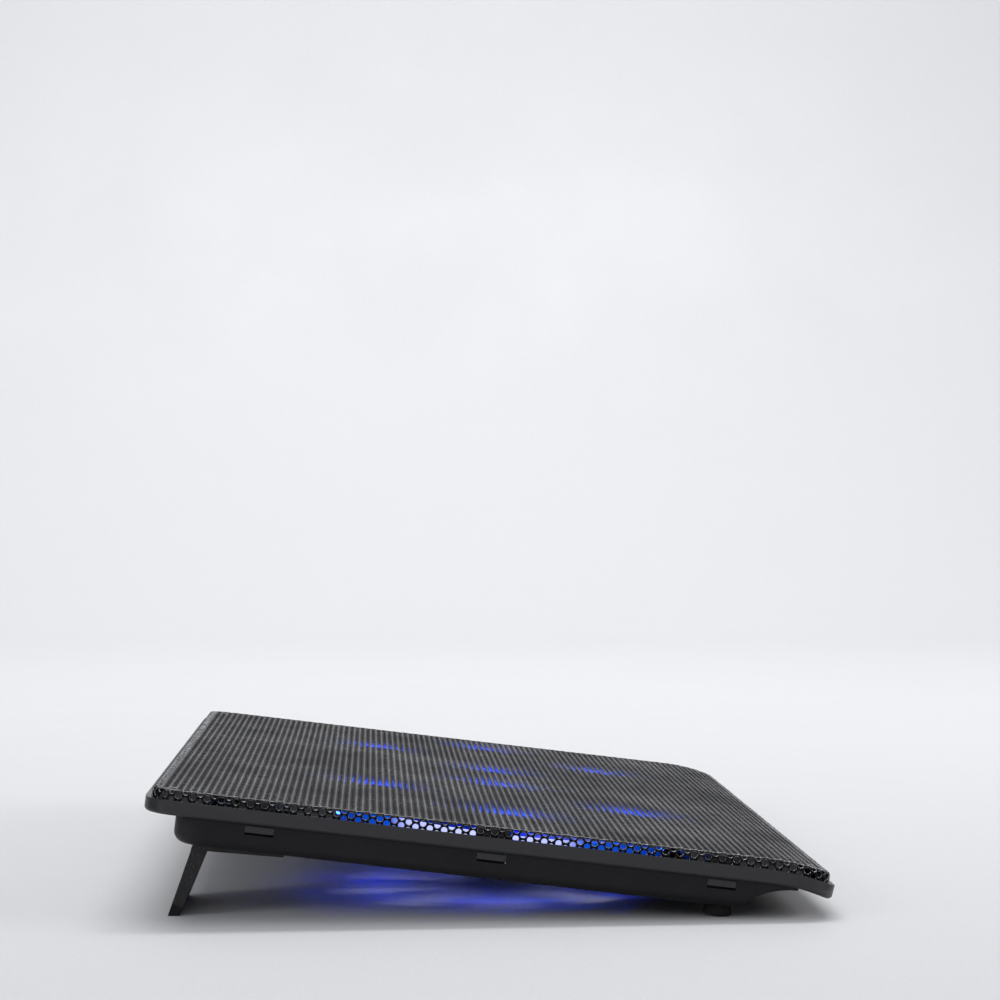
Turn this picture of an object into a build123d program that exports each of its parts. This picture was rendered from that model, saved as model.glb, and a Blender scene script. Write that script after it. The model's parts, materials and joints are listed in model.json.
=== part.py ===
from build123d import *
import os
from math import cos, radians, sin, sqrt, tan

# A laptop cooling pad: a perforated steel deck in a plastic frame, on a shallow case that holds
# two framed fans with lights, standing on two flip-out rear legs and two rubber front feet.
#
# The pieces are drawn in the pad's own frame: X to the user's right, Y to the rear and Z out of
# the deck, with z = 0 on the underside of the case. Each finished piece is then tipped by the
# stand angle and set down, so that the written files have +Z up and the floor at z = 0.

# ------------------------------------------------------------------ driving dimensions, mm
pad_width = 350.0
pad_depth = 253.0
corner_radius = 11.0
stand_angle = 6.9  # degrees, rear raised

case_height = 10.4
frame_height = 5.2
deck_rise = 3.7  # the deck's top face above the frame's rim
sheet = 0.6  # steel of the deck
wall = 1.8  # plastic of the case
rim = 2.0  # plastic of the frame
shelf = 2.0

case_side_inset = 2.5
case_rear = 115.0
case_front = -90.0
case_edge_radius = 4.0

lip_start = -100.0  # the frame's top edge starts to fall here
lip_top_drop = 4.0
lip_under_start = -104.0  # the frame's lower edge starts to fall here
lip_under_end = -125.7
lip_under_drop = 4.6
cove_end = -112.0  # the hollow under the lip ends here
cove_height = 8.9

opening_half = 164.0  # the frame's middle opening
opening_front = -76.0
opening_rear = 104.0

snap_rows = (-84.0, 0.0, 84.0)
snap_width = 10.6
snap_height = 3.4
snap_low = 6.4
hook_width = 10.4

perforation = 10.4  # diameter of the deck's holes
perforation_pitch = 12.5

fan_x = 78.0
fan_y = -8.0
fan_ring_radius = 64.0
fan_ring_wall = 3.0
fan_height = 11.2
rotor_radius = 60.2
hub_radius = 18.0
blade_count = 9
led_count = 4
led_radius = 1.5
intake_rings = 6
intake_slot = 4.8
intake_pitch = 7.2

leg_width = 50.0
leg_inset = 20.0  # from the pad's side to the leg's outer end
hinge_y = 105.0
hinge_z = -1.2
leg_root = 2.8  # half the leg's thickness at its hinge
leg_tip = 2.0  # half the leg's thickness at its tip
leg_lean = 21.0  # degrees rearward from the vertical, standing
shoe_length = 4.0
pin_radius = 1.25
running_gap = 0.05

foot_radius = 5.0
foot_height = 4.0
foot_edge = 0.6
foot_x = 163.0
foot_y = -85.0

screw_radius = 1.3
screw_clearance = 1.7

# ------------------------------------------------------------------ derived dimensions
half_width = pad_width / 2
half_depth = pad_depth / 2
frame_top = case_height + frame_height
deck_top = frame_top + deck_rise
case_half = half_width - case_side_inset
cavity_half = case_half - wall
cavity_rear = case_rear - wall
tongue = cavity_half - 0.3
fan_top = wall + fan_height
SIDES = (("left", -1), ("right", 1))
FROM_BASE = (Align.CENTER, Align.CENTER, Align.MIN)
FROM_TOP = (Align.CENTER, Align.CENTER, Align.MAX)


def arc_radius(run, fall):
    """Radius of an arc that starts level and has fallen by fall after run."""
    return (run**2 + fall**2) / (2 * fall)


# The three curves of the side profile, each level at the place where it starts.
lip_radius = arc_radius(half_depth + lip_start, lip_top_drop)
under_radius = arc_radius(lip_under_start - lip_under_end, lip_under_drop)
cove_radius = arc_radius(case_front - cove_end, cove_height)


def lip_top(y, rise=0.0):
    """Height at y of the lip's top, or of a surface parallel to it and higher by rise."""
    radius = lip_radius + rise
    return frame_top - lip_radius + sqrt(radius**2 - (y - lip_start) ** 2)


def lip_under(y, rise=0.0):
    """Height at y of the lip's underside, or of a surface parallel to it."""
    radius = under_radius + rise
    return case_height - under_radius + sqrt(radius**2 - (y - lip_under_start) ** 2)


def cove(y, rise=0.0):
    """Height at y of the hollow under the lip, or of a surface parallel to it."""
    radius = cove_radius + rise
    return cove_height - cove_radius + sqrt(radius**2 - (y - cove_end) ** 2)


def curve_through(height, start, end, rise=0.0):
    """One of those curves, drawn between two places."""
    middle = (start + end) / 2
    points = [(y, height(y, rise)) for y in (start, middle, end)]
    return ThreePointArc(*points)


# How the pad stands: the front feet's rounded edge and the leg tips both reach the floor.
tip_sin = sin(radians(stand_angle))
tip_cos = cos(radians(stand_angle))
foot_low = (foot_y - foot_radius + foot_edge) * tip_sin + (foot_edge - foot_height) * tip_cos - foot_edge
leg_drop = hinge_y * tip_sin + hinge_z * tip_cos - foot_low
leg_length = leg_drop / cos(radians(leg_lean))
leg_angle = leg_lean - stand_angle  # from the pad's own vertical

os.makedirs("parts", exist_ok=True)

# ------------------------------------------------------------------ places of the fasteners
fan_centres = {name: (side * fan_x, fan_y) for name, side in SIDES}
lug_reach = 66.5
lug_radius = 4.5
lug_step = lug_reach * cos(radians(45))
corners = [(-1, -1), (1, -1), (1, 1), (-1, 1)]
fan_screws_at = [(x + i * lug_step, y + j * lug_step) for x, y in fan_centres.values() for i, j in corners]
case_screws_at = [(0, -80)] + [
    (side * x, y) for x, y in ((163, 100), (166, 38), (150, -80), (60, 107)) for _, side in SIDES
]
bracket_screws_at = [(side * x, y) for x, y in ((98.5, 100), (98.5, 76), (161.5, 76)) for _, side in SIDES]
board_y = case_rear - 12.0
board_screws_at = [(-22, board_y - 6), (22, board_y - 6)]
case_boss_top = 5.0
case_boss_radius = 4.4
head_recess = 2.4
frame_boss_radius = 3.5
countersink_depth = 1.4
countersink_radius = 2.8

# Leg bracket, sockets and switch
bracket_outer = half_width - leg_inset + 3.0
bracket_inner = bracket_outer - leg_width - 6.0
bracket_front = 74.5
bracket_rear = 110.0
bracket_low = -3.3  # at the rear
bracket_low_front = -2.2
bracket_nose = 1.2
bracket_ceiling = 2.7
bracket_top = 4.4
bracket_flange = 1.6
flange_inner = 94.5
flange_outer = 165.5
flange_front = 68.0
flange_rear = 109.0
flange_step = 91.0  # the flange is narrower behind this, past a case boss
stop_y = 108.1  # the open leg's back meets the bracket's rear wall here
board_under = 2.4
board_top = 3.4
sockets = {"power_in": -15.0, "pass_through": 3.0}
socket_width = 13.2
socket_height = 5.7
socket_length = 14.0
switch_x = 19.0
switch_travel = 2.0

# ------------------------------------------------------------------ bottom case
with BuildPart() as cavity:
    with BuildSketch(Plane.YZ.offset(-cavity_half)):
        floor_front = cove_end + sqrt((cove_radius + wall) ** 2 - (wall - cove_height + cove_radius) ** 2)
        with BuildLine():
            Polyline(
                (floor_front, wall),
                (cavity_rear, wall),
                (cavity_rear, case_height + 5),
                (lip_start, case_height + 5),
                (lip_start, cove(lip_start, wall)),
            )
            curve_through(cove, lip_start, floor_front, wall)
        make_face()
    extrude(amount=2 * cavity_half)
    fillet(cavity.edges().filter_by(Axis.Z).group_by(Axis.Y)[-1], corner_radius - wall)
    base = cavity.faces().filter_by(Axis.Z).sort_by(Axis.Z)[0]
    fillet(base.edges().sort_by(Axis.Y)[1:], case_edge_radius - wall)

with BuildPart() as bottom_case:
    with BuildSketch(Plane.YZ.offset(-case_half)):
        with BuildLine():
            Polyline((case_front, 0), (case_rear, 0), (case_rear, case_height), (lip_under_start, case_height))
            curve_through(lip_under, lip_under_start, cove_end)
            Line((cove_end, lip_under(cove_end)), (cove_end, cove_height))
            curve_through(cove, cove_end, case_front)
        make_face()
    extrude(amount=2 * case_half)
    fillet(bottom_case.edges().filter_by(Axis.Z).group_by(Axis.Y)[-1], corner_radius)
    base = bottom_case.faces().filter_by(Axis.Z).sort_by(Axis.Z)[0]
    fillet(base.edges().sort_by(Axis.Y)[1:], case_edge_radius)
    add(cavity.part, mode=Mode.SUBTRACT)
    # bosses that meet the frame's own, each with a recess below for its screw's head
    with Locations(*[(x, y, wall) for x, y in case_screws_at]):
        Cylinder(case_boss_radius, case_boss_top - wall, align=FROM_BASE)
    with Locations(*case_screws_at):
        Cylinder(screw_clearance, case_boss_top, align=FROM_BASE, mode=Mode.SUBTRACT)
        Cylinder(3.1, head_recess, align=FROM_BASE, mode=Mode.SUBTRACT)
    # countersunk holes for the fans and the leg brackets
    with Locations(*fan_screws_at, *bracket_screws_at):
        Cone(countersink_radius, 1.4, countersink_depth, align=FROM_BASE, mode=Mode.SUBTRACT)
        Cylinder(1.4, wall, align=FROM_BASE, mode=Mode.SUBTRACT)
    # low pillars for the socket board
    with Locations(*[(x, y, wall) for x, y in board_screws_at]):
        Cylinder(2.5, board_under - wall, align=FROM_BASE)
    with Locations(*[(x, y, 0.7) for x, y in board_screws_at]):
        Cylinder(1.0, board_under, align=FROM_BASE, mode=Mode.SUBTRACT)
    # air intake under each fan: rings of slots between spokes
    for x, y in fan_centres.values():
        for ring in range(intake_rings):
            slot_inner = 19.0 + intake_pitch * ring
            with BuildSketch(Plane((x, y, 0))):
                Circle(slot_inner + intake_slot)
                Circle(slot_inner, mode=Mode.SUBTRACT)
                with PolarLocations(0, 4, start_angle=22.5, angular_range=180):
                    Rectangle(200, 3, mode=Mode.SUBTRACT)
            extrude(amount=wall, mode=Mode.SUBTRACT)
    # a window in the floor for each leg bracket, and in the side walls for the snap hooks
    for _, side in SIDES:
        middle = side * (bracket_inner + bracket_outer) / 2
        with BuildSketch(Plane((middle, (bracket_front + bracket_rear) / 2, -1))):
            Rectangle(bracket_outer - bracket_inner + 0.3, bracket_rear - bracket_front + 0.3)
        extrude(amount=wall + 4, mode=Mode.SUBTRACT)
        for y in snap_rows:
            with Locations((side * case_half, y, snap_low)):
                Box(4 * wall, snap_width, snap_height, align=FROM_BASE, mode=Mode.SUBTRACT)
    # rear openings for the sockets and the switch
    socket_middle = board_top + socket_height / 2
    with BuildSketch(Plane.XZ.offset(-cavity_rear + 1)):
        with Locations(*[(x, socket_middle) for x in sockets.values()]):
            Rectangle(socket_width + 0.5, socket_height + 0.5)
        with Locations((switch_x, 5.5)):
            Rectangle(5.4, 2.8)
    extrude(amount=-wall - 2, mode=Mode.SUBTRACT)

# ------------------------------------------------------------------ top frame
with BuildPart() as trough:
    # the channel inside the rim, in which the deck's turned-down edges stand
    inside = half_depth - rim
    with BuildSketch(Plane.YZ.offset(-half_width + rim)):
        with BuildLine():
            Polyline(
                (lip_under_start, case_height + shelf),
                (inside, case_height + shelf),
                (inside, deck_top),
                (-inside, deck_top),
                (-inside, lip_under(-inside, shelf)),
            )
            curve_through(lip_under, -inside, lip_under_start, shelf)
        make_face()
    extrude(amount=pad_width - 2 * rim)
    fillet(trough.edges().filter_by(Axis.Z), corner_radius - rim)

with BuildPart() as top_frame:
    with BuildSketch(Plane.YZ.offset(-half_width)):
        with BuildLine():
            Polyline(
                (lip_under_start, case_height),
                (half_depth, case_height),
                (half_depth, frame_top),
                (lip_start, frame_top),
            )
            curve_through(lip_top, lip_start, -half_depth)
            Line((-half_depth, lip_top(-half_depth)), (lip_under_end, lip_under(lip_under_end)))
            curve_through(lip_under, lip_under_end, lip_under_start)
        make_face()
    extrude(amount=pad_width)
    end_faces = top_frame.faces().sort_by(Axis.Y)
    fillet([end.edges().filter_by(Axis.X, reverse=True) for end in (end_faces[0], end_faces[-1])], corner_radius)
    low_edges = top_frame.faces().filter_by(Axis.Z).sort_by(Axis.Z)[0].edges().sort_by(Axis.Y)[1:]
    fillet(low_edges, 1.6)
    add(trough.part, mode=Mode.SUBTRACT)
    # the middle opening, over the fans
    with BuildSketch():
        with Locations((0, (opening_front + opening_rear) / 2)):
            RectangleRounded(2 * opening_half, opening_rear - opening_front, 6)
    extrude(amount=deck_top, mode=Mode.SUBTRACT)
    # screw bosses under the shelf
    with Locations(*[(x, y, case_boss_top) for x, y in case_screws_at]):
        Cylinder(frame_boss_radius, case_height + shelf - case_boss_top, align=FROM_BASE)
    with Locations(*[(x, y, case_boss_top) for x, y in case_screws_at]):
        Cylinder(screw_radius, case_height + shelf - case_boss_top - 1, align=FROM_BASE, mode=Mode.SUBTRACT)
    # props under the deck's edge, and a snap hook below each of them
    for _, side in SIDES:
        outer = half_width - rim - sheet - 0.3
        for y in snap_rows:
            with Locations((side * (outer + opening_half + 1) / 2, y, case_height + shelf)):
                Box(outer - opening_half - 1, 12, deck_top - sheet - 0.1 - case_height - shelf, align=FROM_BASE)
            with BuildSketch(Plane.XZ.offset(-y - hook_width / 2)):
                with BuildLine():
                    Polyline(
                        (side * tongue, case_height),
                        (side * tongue, snap_low + snap_height - 0.2),
                        (side * (case_half - 0.1), snap_low + snap_height - 0.2),
                        (side * (case_half - 0.1), snap_low + 0.9),
                        (side * (tongue + 0.15), snap_low + 0.1),
                        (side * tongue, snap_low - 0.4),
                        (side * (tongue - 1.6), snap_low - 0.4),
                        (side * (tongue - 1.6), case_height),
                        close=True,
                    )
                make_face()
            extrude(amount=hook_width)

# The whole pad stands with the middle of its frame over the origin.
standing = Location((0, 0, -foot_low), (stand_angle, 0, 0))
frame_span = top_frame.part.moved(standing).bounding_box()
standing = Location((0, -frame_span.center().Y, 0)) * standing


def finish(piece, label):
    """Stand a finished piece on the floor with the whole pad, name it and write it."""
    placed = piece.moved(standing)
    placed.label = label
    export_step(placed, f"parts/{label}.step")


finish(bottom_case.part, "bottom_case")
finish(top_frame.part, "top_frame")

# ------------------------------------------------------------------ mesh panel
hem_half_width = half_width - rim - 0.1
hem_half_depth = half_depth - rim - 0.1
hem_radius = corner_radius - rim - 0.1


def deck_block(inset, low):
    """Block under the deck's top surface, drawn in by inset, and reaching down to low."""
    rise = deck_rise - inset
    depth = hem_half_depth - inset
    width = hem_half_width - inset
    with BuildPart(mode=Mode.PRIVATE) as block:
        with BuildSketch(Plane.YZ.offset(-width)):
            with BuildLine():
                Polyline((lip_start, deck_top - inset), (depth, deck_top - inset), (depth, low), (lip_under_start, low))
                if inset == 0:
                    curve_through(lip_under, lip_under_start, -depth, shelf + 0.1)
                    Line((-depth, lip_under(-depth, shelf + 0.1)), (-depth, lip_top(-depth, rise)))
                else:
                    Polyline((lip_under_start, low), (-depth, low), (-depth, lip_top(-depth, rise)))
                curve_through(lip_top, -depth, lip_start, rise)
            make_face()
        extrude(amount=2 * width)
        fillet(block.edges().filter_by(Axis.Z), hem_radius - inset)
    return block.part


hole_rows = int((pad_depth - 16) / (perforation_pitch * sin(radians(60))))
hole_columns = int((pad_width - 12) / perforation_pitch)
bend_radius = 2 * sheet
row_pitch = perforation_pitch * sin(radians(60))
last_row = (hole_rows - 1) / 2 * row_pitch
with BuildPart() as deck_sheet:
    add(deck_block(0, case_height + shelf + 0.1))
    fillet(deck_sheet.faces().sort_by(Axis.Z)[-1].edges().sort_by(Axis.Y)[1:], bend_radius)
    add(deck_block(sheet, 0), mode=Mode.SUBTRACT)
    with BuildSketch(Plane.XY.offset(deck_top + 1)):
        # the front row would fall on the lip, so the rows start behind it
        for row in range(1, hole_rows):
            columns = hole_columns - row % 2
            with Locations((0, row * row_pitch - last_row)):
                with GridLocations(perforation_pitch, 1, columns, 1):
                    Circle(perforation / 2)
    extrude(amount=-8, mode=Mode.SUBTRACT)

# The sheet is one pressing, but its flat, its hem and its lip are a node each.
lip_joint = row_pitch / 2 - last_row
bend_end = deck_top - bend_radius
ALL = 2 * pad_width
with BuildPart() as mesh_panel:
    add(deck_sheet.part)
    with Locations((0, lip_joint, bend_end)):
        Box(ALL, ALL, ALL, align=(Align.CENTER, Align.MIN, Align.MIN), mode=Mode.INTERSECT)
finish(mesh_panel.part, "mesh_panel")
with BuildPart() as mesh_hem:
    add(deck_sheet.part)
    with Locations((0, lip_joint, bend_end)):
        Box(ALL, ALL, ALL, align=(Align.CENTER, Align.MIN, Align.MAX), mode=Mode.INTERSECT)
finish(mesh_hem.part, "mesh_hem")
with BuildPart() as mesh_lip:
    add(deck_sheet.part)
    with Locations((0, lip_joint, bend_end)):
        Box(ALL, ALL, ALL, align=(Align.CENTER, Align.MAX, Align.CENTER), mode=Mode.INTERSECT)
finish(mesh_lip.part, "mesh_lip")

# ------------------------------------------------------------------ fans
strut_top = 4.0
tube_radius = 3.5
shaft_radius = 1.0
bearing_radius = 2.5
cap_inner = 16.4
cap_low = 4.7
cap_top = 12.6
cap_plate = 1.6
blade_low = 4.6
blade_high = 12.3


def blade_section(reach, chord, pitch):
    """Section of a fan blade across its length, at a distance from the fan's axis."""
    with BuildSketch(Plane.YZ.offset(reach)) as section:
        with Locations((0, (blade_low + blade_high) / 2)):
            SlotOverall(chord, 1.3, rotation=pitch)
    return section.sketch


with BuildPart() as blade:
    loft([blade_section(hub_radius - 1.2, 11.0, 38), blade_section(rotor_radius + 0.6, 26.0, 13)])
    with BuildSketch():
        Circle(rotor_radius)
    extrude(amount=20, mode=Mode.INTERSECT)

with BuildPart() as led:
    Cylinder(led_radius, 4.2, align=FROM_BASE)
    with Locations((0, 0, 2.8)):
        Cylinder(1.9, 1.0, align=FROM_BASE)
    fillet(led.edges().filter_by(GeomType.CIRCLE).sort_by(Axis.Z)[0], 1.2)

lead_notch = 2.4
lead_radius = 0.8
lead_height = 3.15
winding_reach = (6.7, 10.6)
winding_width = 5.6
winding_height = 5.4
core_arm = 3.0
core_height = 4.0
core_low = 5.4
magnet_low = 5.2
magnet_wall = 1.8
magnet_height = 5.8
board_low = 3.5
light_height = 8.0

for name, side in SIDES:
    centre = Plane((*fan_centres[name], 0))
    with BuildPart() as fan_frame:
        with BuildSketch(centre.offset(wall)):
            Circle(fan_ring_radius)
            Circle(fan_ring_radius - fan_ring_wall, mode=Mode.SUBTRACT)
        extrude(amount=fan_height)
        with BuildSketch(centre.offset(wall)):
            with PolarLocations(lug_reach, 4, start_angle=45):
                Circle(lug_radius)
            Circle(fan_ring_radius - fan_ring_wall, mode=Mode.SUBTRACT)
        extrude(amount=4)
        with BuildSketch(centre.offset(wall)):
            Circle(20)
        extrude(amount=1.5)
        with BuildSketch(centre.offset(wall)):
            with PolarLocations(fan_ring_radius / 2, 4, start_angle=90):
                Rectangle(fan_ring_radius - 2, 5)
            Circle(15.5, mode=Mode.SUBTRACT)
        extrude(amount=strut_top - wall)
        with BuildSketch(centre.offset(wall)):
            Circle(tube_radius)
        extrude(amount=8.6)
        with BuildSketch(centre.offset(wall + 1.5)):
            Circle(bearing_radius)
        extrude(amount=10, mode=Mode.SUBTRACT)
        with BuildSketch(centre.offset(wall)):
            with PolarLocations(lug_reach, 4, start_angle=45):
                Circle(screw_radius)
        extrude(amount=4, mode=Mode.SUBTRACT)
        # channel for the lead along the rear strut and out through the ring
        with BuildSketch(centre.offset(lead_height - lead_radius - 0.05)):
            with Locations((0, 41)):
                Rectangle(lead_notch, 52)
        extrude(amount=2 * lead_radius + 0.2, mode=Mode.SUBTRACT)
        # holes for the lights, round the ring
        for turn in range(led_count):
            around = centre.rotated((0, 0, 360 / led_count * turn)).offset(light_height)
            across = Plane(around.origin, x_dir=around.y_dir, z_dir=around.x_dir)
            with BuildSketch(across.offset(fan_ring_radius - fan_ring_wall - 1)):
                Circle(led_radius + 0.05)
            extrude(amount=fan_ring_wall + 2, mode=Mode.SUBTRACT)
    finish(fan_frame.part, f"fan_frame_{name}")

    with BuildPart() as fan_rotor:
        with BuildSketch(centre.offset(cap_low)):
            Circle(hub_radius)
        extrude(amount=cap_top - cap_low)
        rim_edge = fan_rotor.edges().filter_by(GeomType.CIRCLE).sort_by(Axis.Z)[-1]
        fillet(rim_edge, 1.0)
        with Locations(centre):
            with PolarLocations(0, blade_count):
                add(blade.part)
        with BuildSketch(centre.offset(blade_low - 1)):
            Circle(cap_inner)
        extrude(amount=cap_top - cap_plate - blade_low + 1, mode=Mode.SUBTRACT)
        with BuildSketch(centre.offset(cap_top - cap_plate)):
            Circle(shaft_radius)
        extrude(amount=1, mode=Mode.SUBTRACT)
    finish(fan_rotor.part, f"fan_rotor_{name}")

    with BuildPart() as fan_magnet:
        with BuildSketch(centre.offset(magnet_low)):
            Circle(cap_inner)
            Circle(cap_inner - magnet_wall, mode=Mode.SUBTRACT)
        extrude(amount=magnet_height)
    finish(fan_magnet.part, f"fan_magnet_{name}")

    with BuildPart() as fan_shaft:
        with BuildSketch(centre.offset(wall + 1.7)):
            Circle(shaft_radius)
        extrude(amount=cap_top - cap_plate + 1 - wall - 1.7)
    finish(fan_shaft.part, f"fan_shaft_{name}")

    with BuildPart() as fan_bearing:
        with BuildSketch(centre.offset(wall + 2.2)):
            Circle(bearing_radius)
            Circle(shaft_radius + running_gap, mode=Mode.SUBTRACT)
        extrude(amount=6.2)
    finish(fan_bearing.part, f"fan_bearing_{name}")

    with BuildPart() as fan_board:
        with BuildSketch(centre.offset(board_low)):
            Circle(15)
            Circle(tube_radius + 0.1, mode=Mode.SUBTRACT)
        extrude(amount=1.0)
    finish(fan_board.part, f"fan_board_{name}")

    with BuildPart() as fan_core:
        with BuildSketch(centre.offset(core_low)):
            Circle(6.5)
            with PolarLocations(8, 4):
                Rectangle(9, core_arm)
            with BuildSketch(mode=Mode.PRIVATE) as shoes:
                Circle(13.6)
                Circle(11.0, mode=Mode.SUBTRACT)
                with PolarLocations(12, 4, start_angle=45):
                    Rectangle(16, 3.2, mode=Mode.SUBTRACT)
            add(shoes.sketch)
            Circle(tube_radius, mode=Mode.SUBTRACT)
        extrude(amount=core_height)
    finish(fan_core.part, f"fan_core_{name}")

    with BuildPart() as fan_windings:
        reach = sum(winding_reach) / 2
        with Locations(centre.offset(core_low + core_height / 2)):
            with PolarLocations(reach, 4):
                Box(winding_reach[1] - winding_reach[0], winding_width, winding_height)
                Box(5, core_arm + 0.1, core_height + 0.1, mode=Mode.SUBTRACT)
    finish(fan_windings.part, f"fan_windings_{name}")

    with BuildPart() as fan_leds:
        for turn in range(led_count):
            around = centre.rotated((0, 0, 360 / led_count * turn)).offset(light_height)
            across = Plane(around.origin, x_dir=around.y_dir, z_dir=around.x_dir)
            with Locations(across.offset(fan_ring_radius - fan_ring_wall + 0.3)):
                add(led.part)
    finish(fan_leds.part, f"fan_leds_{name}")

    # the fan's lead, along the strut, out through the ring and across to the socket board
    fan_at_x, fan_at_y = fan_centres[name]
    route = [
        (fan_at_x, fan_at_y + 15.8, lead_height),
        (fan_at_x, fan_at_y + 70, lead_height),
        (side * 68, 86, lead_height),
        (side * 46, board_y - 5, lead_height),
        (side * 27.3, board_y - 3.5, lead_height),
    ]
    radii = []
    for before, corner, after in zip(route, route[1:], route[2:]):
        run_in = Vector(corner) - Vector(before)
        run_out = Vector(after) - Vector(corner)
        turn = radians(run_in.get_angle(run_out))
        radii.append(0.45 * min(run_in.length, run_out.length) / tan(turn / 2))
    with BuildPart() as fan_lead:
        with BuildLine():
            path = FilletPolyline(*route, radius=radii)
        with BuildSketch(Plane(path @ 0, z_dir=path % 0)):
            Circle(lead_radius)
        sweep()
    print(f"fan_lead_{name}: length {path.length:.1f}, radii", [round(r, 1) for r in radii])
    finish(fan_lead.part, f"fan_lead_{name}")

# ------------------------------------------------------------------ legs, their pins and brackets
across_leg = (0, cos(radians(leg_angle)), sin(radians(leg_angle)))
hinge = Plane((0, hinge_y, hinge_z), x_dir=across_leg, z_dir=(1, 0, 0))

# The leg's side tapers from hinge to tip, along -Y of its sketches, and the tip is cut level.
shoe_start = leg_length - shoe_length
shoe_half = leg_root - (leg_root - leg_tip) * shoe_start / leg_length
slant = leg_tip * tan(radians(leg_lean))
leg_side = [(-leg_root, 0), (-shoe_half, -shoe_start), (shoe_half, -shoe_start), (leg_root, 0)]
shoe_side = [
    (-shoe_half, -shoe_start),
    (-leg_tip, slant - leg_length),
    (leg_tip, -slant - leg_length),
    (shoe_half, -shoe_start),
]


def leg_back(z):
    """Where the open leg's rear face is at a height."""
    return hinge_y + (hinge_z - z) * tan(radians(leg_angle)) + leg_root / cos(radians(leg_angle))


for name, side in SIDES:
    outer_end = side * (half_width - leg_inset)
    start = min(outer_end, outer_end - side * leg_width)
    with BuildPart() as leg:
        with BuildSketch(hinge.offset(start)):
            Circle(leg_root)
            with BuildLine():
                Polyline(*leg_side, close=True)
            make_face()
        extrude(amount=leg_width)
        with BuildSketch(hinge.offset(start + 3)):
            with Locations((0, -leg_length + shoe_length)):
                Rectangle(1.2, 4)
        extrude(amount=leg_width - 6)
        with BuildSketch(hinge.offset(start)):
            Circle(pin_radius + running_gap)
        extrude(amount=leg_width, mode=Mode.SUBTRACT)
    finish(leg.part, f"leg_{name}")

    with BuildPart() as leg_shoe:
        with BuildSketch(hinge.offset(start)):
            with BuildLine():
                Polyline(*shoe_side, close=True)
            make_face()
        extrude(amount=leg_width)
        with BuildSketch(hinge.offset(start + 3)):
            with Locations((0, -leg_length + shoe_length)):
                Rectangle(1.2, 4)
        extrude(amount=leg_width - 6, mode=Mode.SUBTRACT)
    finish(leg_shoe.part, f"leg_shoe_{name}")

    with BuildPart() as leg_pin:
        with BuildSketch(hinge.offset(start - 2.5)):
            Circle(pin_radius)
        extrude(amount=leg_width + 5)
    finish(leg_pin.part, f"leg_pin_{name}")

    with BuildPart() as leg_bracket:
        middle_x = side * (bracket_inner + bracket_outer) / 2
        middle_y = (bracket_front + bracket_rear) / 2
        with BuildSketch(Plane((middle_x, middle_y, bracket_low))):
            Rectangle(bracket_outer - bracket_inner, bracket_rear - bracket_front)
        extrude(amount=bracket_top - bracket_low)
        # flange on the case's floor
        with BuildSketch(Plane.XY.offset(wall)):
            with Locations((side * (flange_inner + bracket_outer) / 2, (flange_front + flange_rear) / 2)):
                Rectangle(bracket_outer - flange_inner, flange_rear - flange_front)
            with Locations((side * (bracket_outer + flange_outer) / 2, (flange_front + flange_step) / 2)):
                Rectangle(flange_outer - bracket_outer, flange_step - flange_front)
        extrude(amount=bracket_flange)
        with Locations(*[(x, y, wall) for x, y in bracket_screws_at if x * side > 0]):
            Cylinder(3.0, 6.0, align=FROM_BASE)
        with Locations(*[(x, y, wall) for x, y in bracket_screws_at if x * side > 0]):
            Cylinder(screw_radius, 5.0, align=FROM_BASE, mode=Mode.SUBTRACT)
        # pocket that the leg folds into
        with BuildSketch(Plane((middle_x, 0, bracket_low))):
            with Locations((0, (bracket_front + bracket_nose + stop_y) / 2)):
                Rectangle(leg_width + 1, stop_y - bracket_front - bracket_nose)
        extrude(amount=bracket_ceiling - bracket_low, mode=Mode.SUBTRACT)
        with BuildSketch(Plane((middle_x, stop_y, bracket_low))):
            Rectangle(leg_width + 1, 4)
        extrude(amount=-bracket_low, mode=Mode.SUBTRACT)
        # the underside rises to the front, and the cheeks end in line with the open leg's back
        with BuildSketch(Plane.YZ.offset(middle_x - leg_width)):
            with BuildLine():
                Polyline(
                    (bracket_front - 1, bracket_low_front),
                    (leg_back(bracket_low), bracket_low),
                    (leg_back(0), 0),
                    (bracket_rear + 1, 0),
                    (bracket_rear + 1, bracket_low - 1),
                    (bracket_front - 1, bracket_low - 1),
                    close=True,
                )
            make_face()
        extrude(amount=2 * leg_width, mode=Mode.SUBTRACT)
        with BuildSketch(hinge.offset(start - 2.5)):
            Circle(pin_radius)
        extrude(amount=leg_width + 5, mode=Mode.SUBTRACT)
    finish(leg_bracket.part, f"leg_bracket_{name}")

    with BuildPart() as front_foot:
        with Locations((side * foot_x, foot_y)):
            Cylinder(foot_radius, foot_height, align=FROM_TOP)
        fillet(front_foot.edges().filter_by(GeomType.CIRCLE).sort_by(Axis.Z)[0], foot_edge)
    finish(front_foot.part, f"front_foot_{name}")

# ------------------------------------------------------------------ socket board, sockets, switch
with BuildPart() as socket_board:
    with BuildSketch(Plane((0, board_y, board_under))):
        Rectangle(54, 18)
        with Locations(*[(x, y - board_y) for x, y in board_screws_at]):
            Circle(1.2, mode=Mode.SUBTRACT)
    extrude(amount=board_top - board_under)
finish(socket_board.part, "socket_board")

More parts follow.
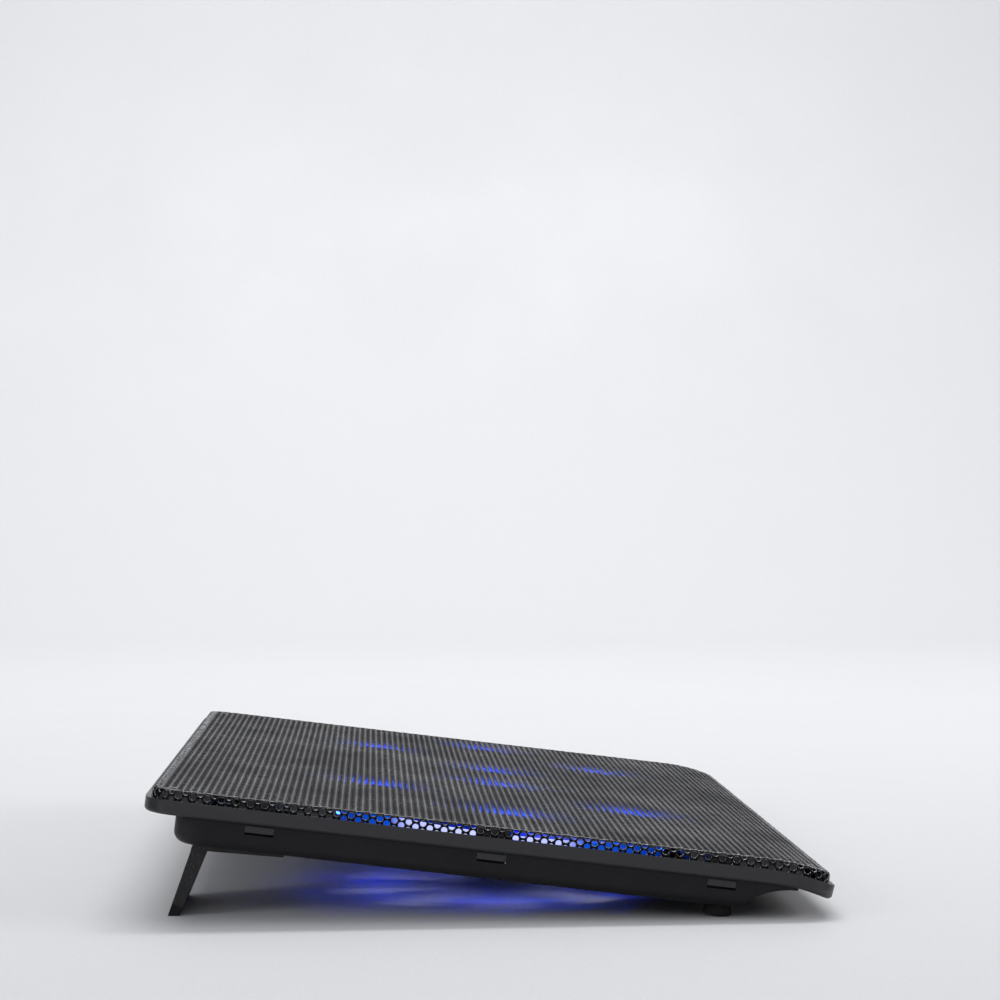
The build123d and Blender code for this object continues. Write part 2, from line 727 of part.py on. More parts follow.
for name, x in sockets.items():
    mouth = case_rear
    back = mouth - socket_length
    skin = 0.4
    with BuildPart() as shell:
        with Locations((x, back, board_top)):
            Box(socket_width, socket_length, socket_height, align=(Align.CENTER, Align.MIN, Align.MIN))
        with Locations((x, back + skin, board_top + skin)):
            Box(
                socket_width - 2 * skin,
                socket_length,
                socket_height - 2 * skin,
                align=(Align.CENTER, Align.MIN, Align.MIN),
                mode=Mode.SUBTRACT,
            )
    finish(shell.part, f"socket_shell_{name}")

    with BuildPart() as tongue_block:
        with Locations((x, back + skin, board_top + skin)):
            Box(socket_width - 2 * skin, 3.5, socket_height - 2 * skin, align=(Align.CENTER, Align.MIN, Align.MIN))
        with Locations((x, back + skin, board_top + socket_height - skin - 0.5)):
            Box(11.0, 12.0, 1.8, align=(Align.CENTER, Align.MIN, Align.MAX))
    finish(tongue_block.part, f"socket_tongue_{name}")

    with BuildPart() as contacts:
        with Locations((x, back + skin + 3.5, board_top + socket_height - skin - 0.5 - 1.8)):
            with GridLocations(2.3, 1, 4, 1):
                Box(1.0, 7.6, 0.3, align=(Align.CENTER, Align.MIN, Align.MAX))
    finish(contacts.part, f"socket_contacts_{name}")

with BuildPart() as switch_body:
    with Locations((switch_x, board_y + 4, board_top)):
        Box(9, 6, 4.2, align=(Align.CENTER, Align.MIN, Align.MIN))
    with Locations((switch_x, board_y + 6, board_top + 0.8)):
        Box(7, 5, 2.6, align=(Align.CENTER, Align.MIN, Align.MIN), mode=Mode.SUBTRACT)
finish(switch_body.part, "switch_body")

with BuildPart() as switch_slider:
    slider_x = switch_x - switch_travel / 2
    slider_front = board_y + 6.3
    with Locations((slider_x, slider_front, board_top + 1.1)):
        Box(4.0, 3.4, 2.0, align=(Align.CENTER, Align.MIN, Align.MIN))
        Box(2.4, case_rear + 2 - slider_front, 2.0, align=(Align.CENTER, Align.MIN, Align.MIN))
    fillet(switch_slider.faces().sort_by(Axis.Y)[-1].edges(), 0.3)
finish(switch_slider.part, "switch_slider")

# ------------------------------------------------------------------ fasteners
with BuildPart() as flat_screw:
    Cone(countersink_radius - 0.1, screw_radius, countersink_depth, align=FROM_BASE)
    Cylinder(screw_radius, 5.4, align=FROM_BASE)
    Box(0.7, 3.2, 1.6, mode=Mode.SUBTRACT)
    Box(3.2, 0.7, 1.6, mode=Mode.SUBTRACT)

with BuildPart() as case_screw:
    Cylinder(2.8, 1.9, align=FROM_TOP)
    fillet(case_screw.edges().filter_by(GeomType.CIRCLE).sort_by(Axis.Z)[0], 0.8)
    Cylinder(screw_radius, 8.6, align=FROM_BASE)
    with Locations((0, 0, -1.9)):
        Box(0.8, 3.4, 1.8, mode=Mode.SUBTRACT)
        Box(3.4, 0.8, 1.8, mode=Mode.SUBTRACT)

with BuildPart() as board_screw:
    Cylinder(2.2, 1.2, align=FROM_BASE)
    Cylinder(1.0, 2.4, align=FROM_TOP)
    with Locations((0, 0, 1.2)):
        Box(0.6, 2.6, 1.2, mode=Mode.SUBTRACT)
        Box(2.6, 0.6, 1.2, mode=Mode.SUBTRACT)

with BuildPart() as fan_screws:
    with Locations(*fan_screws_at):
        add(flat_screw.part)
finish(fan_screws.part, "fan_screws")

with BuildPart() as bracket_screws:
    with Locations(*bracket_screws_at):
        add(flat_screw.part)
finish(bracket_screws.part, "bracket_screws")

with BuildPart() as case_screws:
    with Locations(*[(x, y, head_recess) for x, y in case_screws_at]):
        add(case_screw.part)
finish(case_screws.part, "case_screws")

with BuildPart() as board_screws:
    with Locations(*[(x, y, board_top) for x, y in board_screws_at]):
        add(board_screw.part)
finish(board_screws.part, "board_screws")
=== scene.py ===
import json
from math import atan2, cos, pi, radians, sin, sqrt

import bpy
import numpy as np
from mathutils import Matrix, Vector
from mathutils.geometry import delaunay_2d_cdt


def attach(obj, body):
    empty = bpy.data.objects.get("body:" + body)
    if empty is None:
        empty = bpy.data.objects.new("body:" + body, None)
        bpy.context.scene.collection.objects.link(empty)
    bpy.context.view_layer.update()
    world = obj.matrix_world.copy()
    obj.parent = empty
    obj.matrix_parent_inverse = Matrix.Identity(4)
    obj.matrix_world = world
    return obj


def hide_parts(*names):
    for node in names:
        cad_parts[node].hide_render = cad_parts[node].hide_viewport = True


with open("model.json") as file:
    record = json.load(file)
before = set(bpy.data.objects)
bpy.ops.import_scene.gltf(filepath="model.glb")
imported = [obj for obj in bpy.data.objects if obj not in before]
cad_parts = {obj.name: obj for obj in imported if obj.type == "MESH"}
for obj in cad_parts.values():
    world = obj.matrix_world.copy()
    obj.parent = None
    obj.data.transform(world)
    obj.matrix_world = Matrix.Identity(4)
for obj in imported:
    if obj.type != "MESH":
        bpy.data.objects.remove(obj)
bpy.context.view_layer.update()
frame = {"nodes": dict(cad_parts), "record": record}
mounts = {m["name"]: m for m in frame["record"]["mounts"]}

# ------------------------------------------------------------------ the pad's own frame
# X to the user's right, Y to the rear along the deck and Z out of it, in millimetres, with z = 0 on
# the underside of the case. The deck mount is at (DECK_MOUNT_X, 0, DECK_TOP) in it.
DECK_MOUNT_X = 6.25
DECK_TOP = 19.3
DECK_NORMAL = Vector(mounts["deck"]["axis"])
DECK_REAR = Vector((0.0, DECK_NORMAL.z, -DECK_NORMAL.y))
DECK_POINT = Vector(mounts["deck"]["pos_m"])


def standing(points):
    """Points of the pad's own frame, in mm, as places in the scene, in metres."""
    points = np.asarray(points, float)
    base = np.array(DECK_POINT)
    across = np.array((1.0, 0.0, 0.0))
    along, out = np.array(DECK_REAR), np.array(DECK_NORMAL)
    x, y, z = points[:, 0:1] - DECK_MOUNT_X, points[:, 1:2], points[:, 2:3] - DECK_TOP
    return base + 0.001 * (x * across + y * along + z * out)


def place(x, y, z):
    """One point of the pad's own frame as a place in the scene."""
    return Vector(standing([(x, y, z)])[0])


# ------------------------------------------------------------------ materials
def ramp(nodes, links, source, stops):
    """A colour ramp on a pattern. stops are (position, grey or colour)."""
    node = nodes.new("ShaderNodeValToRGB")
    while len(node.color_ramp.elements) < len(stops):
        node.color_ramp.elements.new(0.5)
    for element, (position, colour) in zip(node.color_ramp.elements, stops):
        element.position = position
        element.color = (*colour, 1.0) if hasattr(colour, "__len__") else (colour, colour, colour, 1.0)
    links.new(source, node.inputs["Fac"])
    return node.outputs["Color"]


def noise(nodes, links, where, scale, detail=3.0, rough=0.55):
    """A noise pattern of that many grains per metre."""
    node = nodes.new("ShaderNodeTexNoise")
    node.inputs["Scale"].default_value = scale
    node.inputs["Detail"].default_value = detail
    node.inputs["Roughness"].default_value = rough
    links.new(where, node.inputs["Vector"])
    return node.outputs["Fac"]


def finish(name, colour, rough, grain, depth, spread=0.35, smudge=45.0, metal=0.0, coat=0.0, shine=0.5,
           glow=None, specks=None):
    """A surface whose colour, roughness and height vary in a fine grain and in broad smudges.

    rough is the range of roughness, grain the grains per metre, depth the grain's height in metres
    and spread how far the colour varies. specks are (share, colour) of light fine specks. glow is
    (colours from a centre outwards as ramp stops, strength, centre, reach) or (colour, strength).
    """
    material = bpy.data.materials.new(name)
    material.use_nodes = True
    nodes, links = material.node_tree.nodes, material.node_tree.links
    shader = nodes["Principled BSDF"]
    where = nodes.new("ShaderNodeTexCoord").outputs["Object"]
    fine = noise(nodes, links, where, grain, 4.0, 0.6)
    broad = noise(nodes, links, where, smudge, 5.0, 0.62)
    dark = tuple(c * (1 - spread) for c in colour)
    light = tuple(min(1.0, c * (1 + spread)) for c in colour)
    stops = [(0.32, dark), (0.66, light)]
    if specks:
        stops = [(0.32, dark), (specks[0], light), (specks[0] + 0.03, specks[1])]
    tint = ramp(nodes, links, fine, stops)
    links.new(tint, shader.inputs["Base Color"])
    low, high = rough
    worn = ramp(nodes, links, broad, [(0.35, low), (0.65, high)])
    links.new(worn, shader.inputs["Roughness"])
    bump = nodes.new("ShaderNodeBump")
    bump.inputs["Strength"].default_value = 1.0
    bump.inputs["Distance"].default_value = depth
    links.new(fine, bump.inputs["Height"])
    links.new(bump.outputs["Normal"], shader.inputs["Normal"])
    shader.inputs["Metallic"].default_value = metal
    shader.inputs["Coat Weight"].default_value = coat
    shader.inputs["Coat Roughness"].default_value = 0.2
    shader.inputs["Specular IOR Level"].default_value = shine
    if glow and len(glow) == 2:
        hue, strength = glow
        links.new(ramp(nodes, links, broad, [(0.3, tuple(0.6 * h for h in hue)), (0.7, hue)]),
                  shader.inputs["Emission Color"])
        shader.inputs["Emission Strength"].default_value = strength
    elif glow:
        stops, strength, centre, reach = glow
        spread_out = nodes.new("ShaderNodeMapping")
        spread_out.vector_type = "POINT"
        spread_out.inputs["Scale"].default_value = (1 / reach, 1 / reach, 1 / reach)
        spread_out.inputs["Location"].default_value = tuple(-c / reach for c in centre)
        links.new(where, spread_out.inputs["Vector"])
        distance = nodes.new("ShaderNodeVectorMath")
        distance.operation = "LENGTH"
        links.new(spread_out.outputs["Vector"], distance.inputs[0])
        links.new(ramp(nodes, links, distance.outputs["Value"], stops), shader.inputs["Emission Color"])
        shader.inputs["Emission Strength"].default_value = strength
    return material


def paint_shade_inside(material, limits, dark):
    """Paints shade into the colour: dark where the piece lies inside the sheet's hem, out of the light.

    limits give, for each axis of the pad's own frame, the places in metres where the distance from
    its middle starts to count as outside and where it wholly does.
    """
    nodes, links = material.node_tree.nodes, material.node_tree.links
    shader = nodes["Principled BSDF"]
    colour = shader.inputs["Base Color"].links[0].from_socket
    level = nodes.new("ShaderNodeMapping")
    level.vector_type = "TEXTURE"
    level.inputs["Location"].default_value = tuple(place(0, 0, 0))
    level.inputs["Rotation"].default_value = (atan2(DECK_REAR.z, DECK_REAR.y), 0, 0)
    links.new(nodes.new("ShaderNodeTexCoord").outputs["Object"], level.inputs["Vector"])
    axes = nodes.new("ShaderNodeSeparateXYZ")
    links.new(level.outputs["Vector"], axes.inputs["Vector"])
    outside = None
    for axis, (start, whole) in limits.items():
        size = nodes.new("ShaderNodeMath")
        size.operation = "ABSOLUTE"
        links.new(axes.outputs[axis], size.inputs[0])
        share = nodes.new("ShaderNodeMapRange")
        share.inputs["From Min"].default_value = start
        share.inputs["From Max"].default_value = whole
        links.new(size.outputs["Value"], share.inputs["Value"])
        if outside is None:
            outside = share.outputs["Result"]
            continue
        either = nodes.new("ShaderNodeMath")
        either.operation = "MAXIMUM"
        links.new(outside, either.inputs[0])
        links.new(share.outputs["Result"], either.inputs[1])
        outside = either.outputs["Value"]
    mix = nodes.new("ShaderNodeMix")
    mix.data_type = "RGBA"
    mix.inputs["A"].default_value = (*dark, 1.0)
    links.new(outside, mix.inputs["Factor"])
    links.new(colour, mix.inputs["B"])
    links.new(mix.outputs["Result"], shader.inputs["Base Color"])


FINISHES = {
    "case_plastic": finish("case_plastic", (0.0045, 0.0046, 0.0054), (0.42, 0.60), 2600, 0.00005, shine=0.26),
    "frame_plastic": finish("frame_plastic", (0.023, 0.023, 0.0245), (0.34, 0.48), 3200, 0.00002, shine=0.40),
    "deck_steel": finish("deck_steel", (0.0025, 0.0025, 0.003), (0.22, 0.36), 4200, 0.00002, smudge=25.0,
                         shine=0.09),
    "magnet": finish("magnet", (0.06, 0.06, 0.065), (0.5, 0.7), 3000, 0.00003),
    "polished_steel": finish("polished_steel", (0.58, 0.58, 0.60), (0.16, 0.32), 5000, 0.00001, spread=0.1,
                             metal=1.0),
    "socket_steel": finish("socket_steel", (0.66, 0.66, 0.68), (0.20, 0.36), 3500, 0.00001, spread=0.12,
                           metal=1.0),
    "bronze": finish("bronze", (0.55, 0.36, 0.16), (0.35, 0.55), 3500, 0.00003, metal=1.0),
    "board": finish("board", (0.02, 0.16, 0.07), (0.25, 0.40), 1200, 0.00002, coat=0.4),
    "core_steel": finish("core_steel", (0.36, 0.36, 0.38), (0.35, 0.5), 2600, 0.00003, metal=1.0),
    "copper": finish("copper", (0.72, 0.32, 0.14), (0.22, 0.4), 3600, 0.00005, metal=1.0),
    "led_lens": finish("led_lens", (0.10, 0.22, 1.0), (0.08, 0.16), 1200, 0.00001,
                       glow=((0.03, 0.14, 1.0), 12.0)),
    "lead_jacket": finish("lead_jacket", (0.02, 0.02, 0.02), (0.45, 0.6), 2600, 0.00002),
    "leg_plastic": finish("leg_plastic", (0.0055, 0.0055, 0.006), (0.34, 0.62), 1500, 0.00020,
                          specks=(0.60, (0.05, 0.05, 0.052)), shine=0.45),
    "rubber": finish("rubber", (0.008, 0.008, 0.008), (0.7, 0.9), 2200, 0.00006, shine=0.3),
    "contact_brass": finish("contact_brass", (0.80, 0.58, 0.22), (0.2, 0.34), 3000, 0.00001, metal=1.0),
    "moulded_black": finish("moulded_black", (0.022, 0.022, 0.024), (0.3, 0.45), 2600, 0.00002),
    "screw_black": finish("screw_black", (0.05, 0.05, 0.055), (0.28, 0.45), 3800, 0.00003, metal=0.9),
}
# Painted shade: the frame's plastic inside the sheet's hem is coloured nearly black where shade falls, so the
# hem's holes read dark.
PAINTED_SHADE_LIMITS = {"X": (0.1728, 0.1740), "Y": (0.1243, 0.1255), "Z": (0.0104, 0.0101)}
paint_shade_inside(FINISHES["frame_plastic"], PAINTED_SHADE_LIMITS, (0.0015, 0.0015, 0.0018))
HOLE_EDGE = finish("hole_edge", (0.20, 0.20, 0.21), (0.22, 0.40), 900, 0.00001, spread=0.85, smudge=120.0,
                   metal=1.0)

# The fans' clear plastic carries a painted glow, emission that stands in for the lights' light shining
# through it: nearly white beside the outer light, then blue.
FANS = (("left", -78.0), ("right", 78.0))
FAN_Y = -8.0
RING_PAINTED_GLOW = [
    (0.0, (0.60, 0.64, 1.0)),
    (0.33, (0.48, 0.53, 1.0)),
    (0.43, (0.0, 0.06, 0.5)),
    (0.9, (0.0, 0.02, 0.2)),
]
ROTOR_PAINTED_GLOW = [(0.0, (0.0, 0.05, 0.6)), (1.0, (0.0, 0.02, 0.3))]
FAN_RADIUS = 61.0
# where the fans' painted glow is centred, beside the outer light
PAINTED_GLOW_Y = FAN_Y + 10
PAINTED_GLOW_Z = 12
for side, fan_x in FANS:
    outwards = FAN_RADIUS if fan_x > 0 else -FAN_RADIUS
    # painted glow: the fan frame and rotor plastic emit light though they are no lamps
    beside = place(fan_x + outwards, PAINTED_GLOW_Y, PAINTED_GLOW_Z)
    name = "fan_plastic_" + side
    FINISHES[name] = finish(name, (0.03, 0.08, 0.60), (0.20, 0.35), 900, 0.00002,
                            glow=(RING_PAINTED_GLOW, 1.1, beside, 0.090))
    name = "rotor_plastic_" + side
    FINISHES[name] = finish(name, (0.03, 0.08, 0.70), (0.18, 0.32), 900, 0.00002,
                            glow=(ROTOR_PAINTED_GLOW, 0.22, beside, 0.110))

for part in frame["record"]["subparts"]:
    node = frame["nodes"][part["node"]]
    node.data.materials.clear()
    name = part["material_slot"]
    if name in ("fan_plastic", "rotor_plastic"):
        name += "_left" if part["node"].endswith("left") else "_right"
    node.data.materials.append(FINISHES[name])

# ------------------------------------------------------------------ perforated deck sheet
# The sheet is laid out flat in (u, v), u along X and v along Y, and its edges are then bent down.
# Each hole has a rectangular cell, and the rows are staggered by half a cell.
HOLE_RADIUS = 1.25
SOFT_RADIUS = 1.285  # where a rounded hole edge starts
HOLE_PITCH = 3.0
ROW_PITCH = HOLE_PITCH * sin(radians(60))
SHEET = 0.6
EDGE_X = 172.9
EDGE_Y = 124.4
BEND = 1.2
SHEET_END = 179.2
ROWS_END = 130.7
CORNER_U = 54.5 * HOLE_PITCH
CORNER_ROW = 44
CORNER_V = (CORNER_ROW + 0.5) * ROW_PITCH
STRIP_START = 2 * HOLE_PITCH  # the strip that's carried round a corner starts this far from its middle
SOFT_SIDES = 14
PLAIN_SIDES = 8
CORNER_SIDES = 10
LIP_START = -100.0
LIP_RUN = 26.5  # from there to the frame's front edge, over which its rim falls by LIP_FALL
LIP_FALL = 4.0
DECK_RISE = 3.7  # the deck's top above the frame's rim
LIP_RADIUS = (LIP_RUN**2 + LIP_FALL**2) / (2 * LIP_FALL) + DECK_RISE
HEM_LOW = 12.5
HEM_FALL = 1.05  # how far the hem's end falls along the lip, for each mm that the deck falls


def deck_height(y):
    """Height of the deck's outer surface at y: level, and falling in an arc along the front lip."""
    ahead = np.clip(LIP_START - y, 0, LIP_RUN - 0.5)
    return DECK_TOP - LIP_RADIUS + np.sqrt(LIP_RADIUS**2 - ahead**2)


def hem_bottom(y):
    """Height at which the sheet's hem ends."""
    return HEM_LOW - (DECK_TOP - deck_height(y)) * HEM_FALL


def bend(along, edge):
    """Where a distance along the flat sheet comes to: (reach, drop, outward share, upward share)."""
    start = edge - BEND
    turn = np.clip((along - start) / BEND, 0, pi / 2)
    down = np.maximum(along - start - BEND * pi / 2, 0)
    reach = np.minimum(along, start) + BEND * np.sin(turn)
    return reach, BEND * (1 - np.cos(turn)) + down, np.sin(turn), np.cos(turn)


def shaped(uv, inward):
    """The bent sheet's points for flat places uv, at a depth inward from its outer surface."""
    u, v = uv[:, 0], uv[:, 1]
    x, drop_x, out_x, up_x = bend(np.abs(u), EDGE_X)
    y, drop_y, out_y, up_y = bend(np.abs(v), EDGE_Y)
    x, y = np.sign(u) * x, np.sign(v) * y
    z = deck_height(y) - drop_x - drop_y
    x = x - inward * out_x * np.sign(u)
    y = y - inward * out_y * np.sign(v)
    z = np.maximum(z - inward * up_x * up_y, hem_bottom(y))
    return np.column_stack((x, y, z))


def wrapped(turn, along, inward, quadrant):
    """The same round a corner of the deck: turn from 0 at the side to 1 at the front or rear."""
    sx, sy = quadrant
    angle = turn * pi / 2
    cx, cy = (EDGE_X - CORNER_U) * np.cos(angle), (EDGE_Y - CORNER_V) * np.sin(angle)
    radius = np.sqrt(cx**2 + cy**2)
    reach, drop, out, up = bend(along, EDGE_X - CORNER_U)
    reach = (reach - inward * out) / (EDGE_X - CORNER_U) * radius
    x = sx * (CORNER_U + reach * cx / radius)
    y = sy * (CORNER_V + reach * cy / radius)
    z = np.maximum(deck_height(y) - drop - inward * up, hem_bottom(y))
    return np.column_stack((x, y, z))


def cell_template(count, soft):
    """Flat cell of one hole: the places of its vertices, border first, and its faces.

    count is the number of the hole's sides, and soft says whether its edge is rounded.
    """
    half_u, half_v = HOLE_PITCH / 2, ROW_PITCH / 2
    border = [(u, half_v) for u in (half_u, 0, -half_u)]
    border += [(u, -half_v) for u in (-half_u, 0, half_u)]
    radius = SOFT_RADIUS if soft else HOLE_RADIUS
    rim = [(radius * cos(2 * pi * i / count), radius * sin(2 * pi * i / count)) for i in range(count)]
    outer = [(atan2(y, x) % (2 * pi), i) for i, (x, y) in enumerate(border)]
    outer.sort()
    inner = [(2 * pi * i / count, 6 + i) for i in range(count)]
    faces = []
    i = j = 0
    while i < 6 or j < count:
        next_outer = outer[(i + 1) % 6][0] + 2 * pi * ((i + 1) // 6)
        next_inner = inner[(j + 1) % count][0] + 2 * pi * ((j + 1) // count)
        if j == count or (i < 6 and next_outer < next_inner):
            faces.append((outer[i % 6][1], outer[(i + 1) % 6][1], inner[j % count][1]))
            i += 1
        else:
            faces.append((outer[i % 6][1], inner[(j + 1) % count][1], inner[j % count][1]))
            j += 1
    return np.array(border + rim), np.array(faces)


class Sheet:
    """Collects the faces of one piece of the sheet."""

    def __init__(self):
        self.points, self.faces, self.finishes, self.count = [], [], [], 0

    def add(self, points, faces, finishes=None):
        self.points.append(points)
        self.faces.append(np.asarray(faces) + self.count)
        self.finishes.append(np.zeros(len(faces), np.int32) if finishes is None else finishes)
        self.count += len(points)

    def add_cells(self, centres, count, soft, warp):
        """Cells with holes. warp(places, inward) gives the bent sheet's points.

        A soft hole's rounded edge is bare metal, the second of the sheet's materials.
        """
        if len(centres) == 0:
            return
        flat, top = cell_template(count, soft)
        ring = np.arange(count)
        after = (ring + 1) % count
        size = len(flat)
        places = (np.asarray(centres)[:, None, :] + flat[None, :, :]).reshape(-1, 2)
        each = np.arange(len(centres))[:, None, None]
        self.add(warp(places, 0.0), (top[None] + each * size).reshape(-1, 3))
        self.add(warp(places, SHEET), (top[None, :, ::-1] + each * size).reshape(-1, 3))
        directions = flat[6:] / np.linalg.norm(flat[6:], axis=1)[:, None]
        levels = [(HOLE_RADIUS, 0.0), (HOLE_RADIUS, SHEET)]
        if soft:
            levels = [(SOFT_RADIUS, 0.0), (1.22, 0.05), (1.12, 0.2), (1.12, SHEET)]
        rings = []
        for radius, inward in levels:
            edge = (np.asarray(centres)[:, None, :] + radius * directions[None]).reshape(-1, 2)
            rings.append(warp(edge, inward))
        quads, bare = [], []
        stride = len(centres) * count
        for level in range(len(levels) - 1):
            a = level * stride + each[:, :, 0] * count + ring[None]
            b = level * stride + each[:, :, 0] * count + after[None]
            quads.append(np.stack((a, b, b + stride), -1).reshape(-1, 3))
            quads.append(np.stack((a, b + stride, a + stride), -1).reshape(-1, 3))
            bare.append(np.full(2 * stride, int(soft and level < 2), np.int32))
        self.add(np.concatenate(rings), np.concatenate(quads), np.concatenate(bare))

    def add_plain(self, boxes, warp):
        """Plain patches between the cells, as (u low, u high, v low, v high)."""
        for u0, u1, v0, v1 in boxes:
            corners = np.array(((u0, v0), (u1, v0), (u1, v1), (u0, v1)))
            self.add(warp(corners, 0.0), ((0, 1, 2), (0, 2, 3)))
            self.add(warp(corners, SHEET), ((0, 2, 1), (0, 3, 2)))

    def build(self, name):
        mesh = bpy.data.meshes.new(name)
        points = standing(np.concatenate(self.points))
        faces = np.concatenate(self.faces)
        mesh.vertices.add(len(points))
        mesh.vertices.foreach_set("co", points.astype(np.float32).ravel())
        mesh.loops.add(len(faces) * 3)
        mesh.loops.foreach_set("vertex_index", faces.astype(np.int32).ravel())
        mesh.polygons.add(len(faces))
        mesh.polygons.foreach_set("loop_start", np.arange(0, len(faces) * 3, 3, dtype=np.int32))
        mesh.update()
        mesh.polygons.foreach_set("use_smooth", np.ones(len(faces), bool))
        mesh.polygons.foreach_set("material_index", np.concatenate(self.finishes))
        piece = bpy.data.objects.new(name, mesh)
        bpy.context.scene.collection.objects.link(piece)
        mesh.materials.append(FINISHES["deck_steel"])
        mesh.materials.append(HOLE_EDGE)
        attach(piece, "base")
        return piece


def row_cells(row, low, high):
    """Centres of a row's cells between two places along u, and the plain patches left at its ends."""
    shift = 0.5 * HOLE_PITCH * (row % 2)
    first = int(np.ceil((low + HOLE_PITCH / 2 - shift) / HOLE_PITCH - 1e-6))
    last = int(np.floor((high - HOLE_PITCH / 2 - shift) / HOLE_PITCH + 1e-6))
    centres = [i * HOLE_PITCH + shift for i in range(first, last + 1)]
    v0, v1 = (row - 0.5) * ROW_PITCH, (row + 0.5) * ROW_PITCH
    patches = []
    start, end = centres[0] - HOLE_PITCH / 2, centres[-1] + HOLE_PITCH / 2
    if start > low + 1e-6:
        patches.append((low, start, v0, v1))
    if end < high - 1e-6:
        patches.append((end, high, v0, v1))
    return [(u, row * ROW_PITCH) for u in centres], patches


last_row = int(ROWS_END / ROW_PITCH)
QUARTERS = (("left_front", -1, -1), ("left_rear", -1, 1), ("right_front", 1, -1), ("right_rear", 1, 1))
quarters = {name: Sheet() for name, _, _ in QUARTERS}
for row in range(-last_row, last_row + 1):
    reach = SHEET_END if abs(row) <= CORNER_ROW else CORNER_U
    cells, patches = row_cells(row, -reach, reach)
    for name, sheet_part in quarters.items():
        if (row < 0) != name.endswith("front"):
            continue
        mine = [c for c in cells if (c[0] < 0) == name.startswith("left")]
        edge = [c for c in mine if abs(c[0]) > EDGE_X - HOLE_PITCH or abs(c[1]) > EDGE_Y - HOLE_PITCH]
        inner = [c for c in mine if c not in edge]
        sheet_part.add_cells(edge, SOFT_SIDES, True, shaped)
        sheet_part.add_cells(inner, PLAIN_SIDES, False, shaped)
        sheet_part.add_plain([p for p in patches if (p[0] + p[1] < 0) == name.startswith("left")], shaped)


def add_corner(sheet_part, sx, sy):
    """The rounded corner of the sheet: a flat sector with holes, and its hem carried round."""
    quadrant = (sx, sy)
    steps = 6
    corner_rows = range(CORNER_ROW + 1, CORNER_ROW + 1 + steps)

    def round_corner(places, inward):
        turn = (places[:, 1] - CORNER_V) / (steps * ROW_PITCH)
        return wrapped(turn, places[:, 0] - CORNER_U, inward, quadrant)

    start = CORNER_U + STRIP_START
    cells, patches = [], []
    for row in corner_rows:
        more, plain = row_cells(row, start, SHEET_END)
        cells += more
        patches += plain
    sheet_part.add_cells(cells, SOFT_SIDES, True, round_corner)
    sheet_part.add_plain(patches, round_corner)

    # the flat sector inside the strip
    arc_places = np.array([(start, CORNER_V + k * ROW_PITCH / 2) for k in range(2 * steps + 1)])
    arc = round_corner(arc_places, 0.0)[:, :2] * quadrant
    border = [(CORNER_U, CORNER_V)] + [tuple(p) for p in arc]
    up_side = [CORNER_V + k * ROW_PITCH for k in (2, 1)]
    border += [(CORNER_U, v) for v in up_side if v < arc[-1][1] - 0.1]
    loops = [list(range(len(border)))]
    points = [Vector(p) for p in border]
    holes = []
    for row in corner_rows:
        for u, v in row_cells(row, CORNER_U, CORNER_U + STRIP_START + HOLE_PITCH)[0]:
            if sqrt((u - CORNER_U) ** 2 + (v - CORNER_V) ** 2) < STRIP_START - HOLE_PITCH / 2:
                holes.append((u, v))
                turns = [2 * pi * i / CORNER_SIDES for i in range(CORNER_SIDES)]
                loops.append(list(range(len(points), len(points) + CORNER_SIDES))[::-1])
                points += [Vector((u + HOLE_RADIUS * cos(a), v + HOLE_RADIUS * sin(a))) for a in turns]
    flat, _, faces, *_ = delaunay_2d_cdt(points, [], loops, 1, 1e-5)
    kept = []
    for face in faces:
        middle = sum((flat[i] for i in face), Vector((0, 0))) / len(face)
        if all((middle - Vector(h)).length > HOLE_RADIUS - 0.05 for h in holes):
            kept.append(tuple(face))
    places = np.array([tuple(p) for p in flat]) * quadrant
    x, y = places[:, 0], places[:, 1]
    if sx * sy < 0:
        kept = [f[::-1] for f in kept]
    sheet_part.add(np.column_stack((x, y, deck_height(y))), kept)
    sheet_part.add(np.column_stack((x, y, deck_height(y) - SHEET)), [f[::-1] for f in kept])


for name, sx, sy in QUARTERS:
    add_corner(quarters[name], sx, sy)
deck = [sheet_part.build("deck_sheet_" + name) for name, sheet_part in quarters.items()]
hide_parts("mesh_panel", "mesh_hem", "mesh_lip")

# ------------------------------------------------------------------ lights inside the fans
BLUE = (0.0, 0.07, 1.0)


def blue_light(name, kind, where, watts):
    data = bpy.data.lights.new(name, kind)
    data.energy = watts
    data.color = BLUE
    data.shadow_soft_size = 0.004
    lamp = bpy.data.objects.new(name, data)
    bpy.context.scene.collection.objects.link(lamp)
    lamp.location = where
    return lamp


# Low lights shine through the grilles on to the floor, and high ones up at the deck.
for side, fan_x in FANS:
    for turn in range(4):
        angle = turn * pi / 2
        low = place(fan_x + 52 * cos(angle), FAN_Y + 52 * sin(angle), 5.0)
        high = place(fan_x + 50 * cos(angle), FAN_Y + 50 * sin(angle), 14.2)
        blue_light(f"glow_low_{side}_{turn}", "POINT", low, 0.045)
        upward = blue_light(f"glow_high_{side}_{turn}", "SPOT", high, 1.1)
        upward.data.spot_size = radians(168)
        upward.data.spot_blend = 0.3
        upward.rotation_euler = DECK_NORMAL.to_track_quat("-Z", "Y").to_euler()

# ------------------------------------------------------------------ floor, backdrop and studio lights
def stage_sheet(name, points, faces, material):
    mesh = bpy.data.meshes.new(name)
    mesh.from_pydata(points, [], faces)
    mesh.materials.append(material)
    for polygon in mesh.polygons:
        polygon.use_smooth = True
    thing = bpy.data.objects.new(name, mesh)
    bpy.context.scene.collection.objects.link(thing)
    return thing


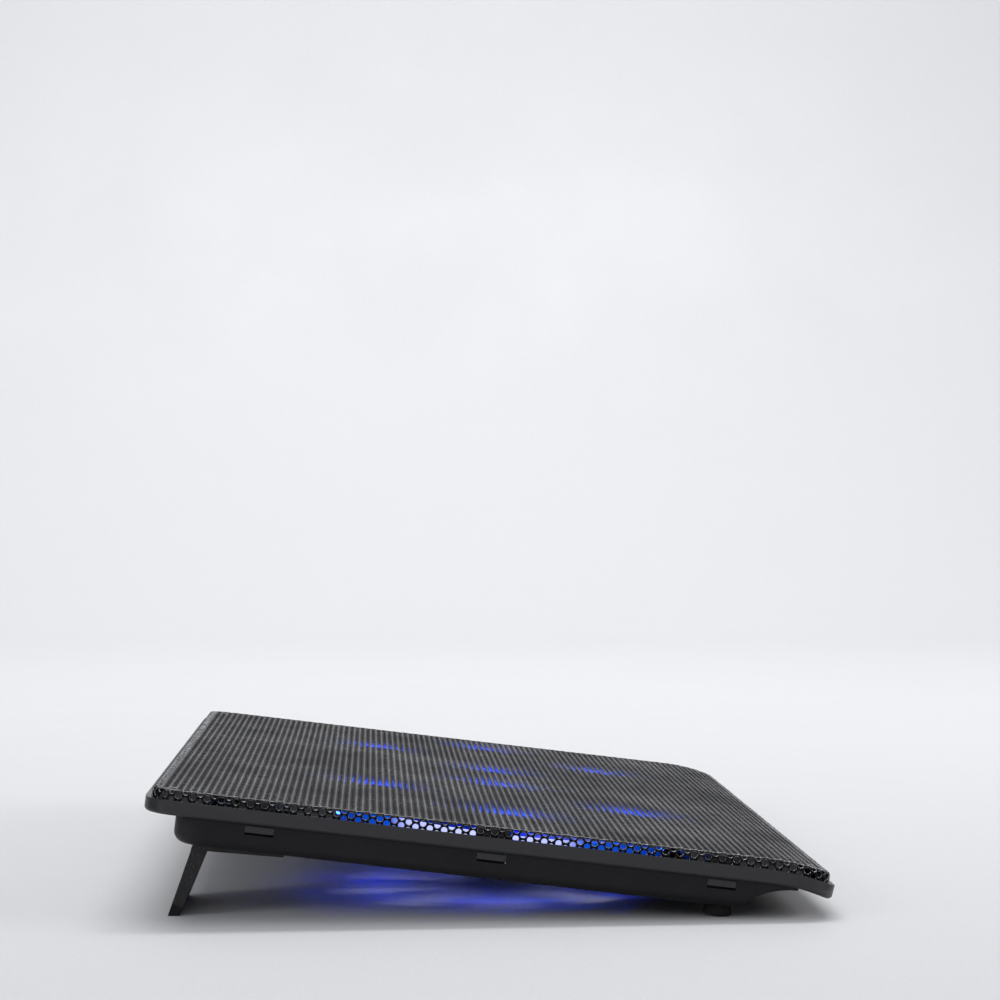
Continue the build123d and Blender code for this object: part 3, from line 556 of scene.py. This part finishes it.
paper = finish("paper", (0.56, 0.56, 0.57), (0.55, 0.75), 700, 0.00002, spread=0.03, smudge=3.0)
FLOOR_BACK = 1.6
CURVE = 0.9
profile = [(-3.0, 0.0), (FLOOR_BACK, 0.0)]
profile += [(FLOOR_BACK + CURVE * sin(a), CURVE * (1 - cos(a))) for a in np.linspace(0.1, pi / 2, 14)]
profile += [(FLOOR_BACK + CURVE, 4.0)]
points = [(x, y, z) for x, z in profile for y in (-4.0, 4.0)]
faces = [(2 * i, 2 * i + 1, 2 * i + 3, 2 * i + 2) for i in range(len(profile) - 1)]
stage_sheet("backdrop", points, faces, paper)


def softbox(name, where, towards, width, height, watts, colour=(1.0, 1.0, 1.0)):
    data = bpy.data.lights.new(name, "AREA")
    data.shape = "RECTANGLE"
    data.size, data.size_y = width, height
    data.energy = watts
    data.color = colour
    lamp = bpy.data.objects.new(name, data)
    bpy.context.scene.collection.objects.link(lamp)
    lamp.location = where
    lamp.rotation_euler = (Vector(towards) - Vector(where)).to_track_quat("-Z", "Y").to_euler()


softbox("overhead", (0.3, -0.1, 1.7), (0.0, 0.0, 0.0), 1.4, 1.8, 11.5)
softbox("from_front", (-0.2, -1.7, 0.7), (0.0, -0.05, 0.0), 1.0, 0.6, 13.0)
softbox("from_rear", (-0.8, 1.4, 0.7), (0.0, 0.05, 0.03), 0.6, 0.6, 5.0)
softbox("near_fill", (-1.9, 0.2, 1.0), (0.0, 0.0, 0.0), 1.2, 0.8, 3.6)
softbox("on_backdrop", (1.0, 0.0, 2.6), (2.5, 0.0, 0.6), 2.4, 0.8, 70.0)

world = bpy.data.worlds.new("studio")
bpy.context.scene.world = world
world.use_nodes = True
world.node_tree.nodes["Background"].inputs["Color"].default_value = (0.9, 0.93, 1.0, 1.0)
world.node_tree.nodes["Background"].inputs["Strength"].default_value = 0.38

# ------------------------------------------------------------------ camera
camera_data = bpy.data.cameras.new("camera")
camera_data.lens = 93.48
camera_data.sensor_width = 36.0
camera = bpy.data.objects.new("camera", camera_data)
bpy.context.scene.collection.objects.link(camera)
camera.location = (-1.1073, 0.0430, 0.1518)
heading = radians(2.793)
camera.rotation_euler = Vector((cos(heading), -sin(heading), 0.0)).to_track_quat("-Z", "Y").to_euler()
bpy.context.scene.camera = camera
bpy.context.scene.view_settings.view_transform = "Standard"
